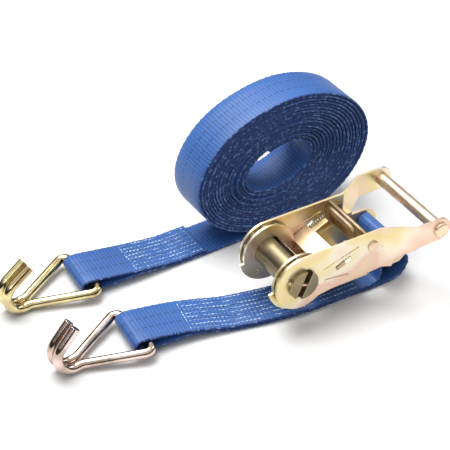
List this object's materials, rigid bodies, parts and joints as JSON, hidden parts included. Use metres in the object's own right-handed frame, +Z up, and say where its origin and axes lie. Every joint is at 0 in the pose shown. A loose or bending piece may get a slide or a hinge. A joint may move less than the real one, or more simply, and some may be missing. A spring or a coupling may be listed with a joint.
{
  "type": "ratchet tie down",
  "caption": "Ratchet buckle with a hinged handle, toothed winding spindle and sprung pawls, a short hook strap and a rolled long hook strap.",
  "frame": {"origin": "on the resting surface, straight below the middle of the winding spindle", "axes": "+X from the spindle towards the handle grip (the short strap's hook points to -X), +Y from the ratchet buckle to the rolled long strap, +Z up"},
  "size_m": [0.3033, 0.1615, 0.1113],
  "materials": {
    "zinc_frame": "satin",
    "zinc_small": "satin",
    "zinc_pawls": "satin",
    "zinc_spindle": "satin",
    "spring_steel": "bright",
    "zinc_hook_silver": "bright",
    "zinc_hook_yellow": "bright",
    "blue_webbing": "woven"
  },
  "bodies": {
    "buckle": {"frame": "zinc_frame", "anchor_bar": "zinc_small", "short_webbing": "blue_webbing", "lock_spring": "spring_steel"},
    "handle": {"handle_arm_near": "zinc_frame", "handle_arm_far": "zinc_frame", "handle_cross_plate": "zinc_frame", "cross_rivets": "zinc_small", "grip_tube": "zinc_small", "grip_rod": "zinc_small", "drive_springs": "spring_steel"},
    "drive_pawl": {"drive_pawl": "zinc_pawls"},
    "lock_pawl": {"lock_pawl": "zinc_pawls"},
    "spindle": {"spindle_half_left": "zinc_spindle", "spindle_half_right": "zinc_spindle", "ratchet_wheel_near": "zinc_spindle", "ratchet_wheel_far": "zinc_spindle", "cotter_pins": "zinc_small"},
    "short_hook": {"hook_short": "zinc_hook_silver"},
    "long_strap": {"long_webbing_tail": "blue_webbing", "long_webbing_roll": "blue_webbing"},
    "long_hook": {"hook_long": "zinc_hook_yellow"}
  },
  "joints": [
    {"name": "handle_swing", "type": "hinge", "parent": "buckle", "child": "handle", "pos_m": [0, 0, 0.038], "axis": [0, -1, 0], "range_deg": [0, 180]},
    {"name": "spindle_spin", "type": "hinge", "parent": "buckle", "child": "spindle", "pos_m": [0, 0, 0.038], "axis": [0, 1, 0], "continuous": true},
    {"name": "drive_pawl_slide", "type": "slide", "parent": "handle", "child": "drive_pawl", "axis": [0.9063, 0, 0.4226], "range_m": [0, 0.0045], "stiffness_N_per_m": 300, "springref_m": -0.01, "deforming": ["drive_springs"]},
    {"name": "lock_pawl_slide", "type": "slide", "parent": "buckle", "child": "lock_pawl", "axis": [1, 0, 0], "range_m": [0, 0.0045], "stiffness_N_per_m": 300, "springref_m": -0.01, "deforming": ["lock_spring"]},
    {"name": "hook_short_swing", "type": "hinge", "parent": "buckle", "child": "short_hook", "pos_m": [-0.10702, 0.02037, 0.0082], "axis": [-0.0698, 0.9976, 0], "range_deg": [0, 45]},
    {"name": "long_strap_slide", "type": "slide", "parent": "buckle", "child": "long_strap", "axis": [0, 1, 0], "range_m": [0, 0.2]},
    {"name": "hook_long_swing", "type": "hinge", "parent": "long_strap", "child": "long_hook", "pos_m": [-0.10953, 0.09612, 0.0082], "axis": [-0.0837, 0.9965, 0], "range_deg": [0, 110]}
  ]
}
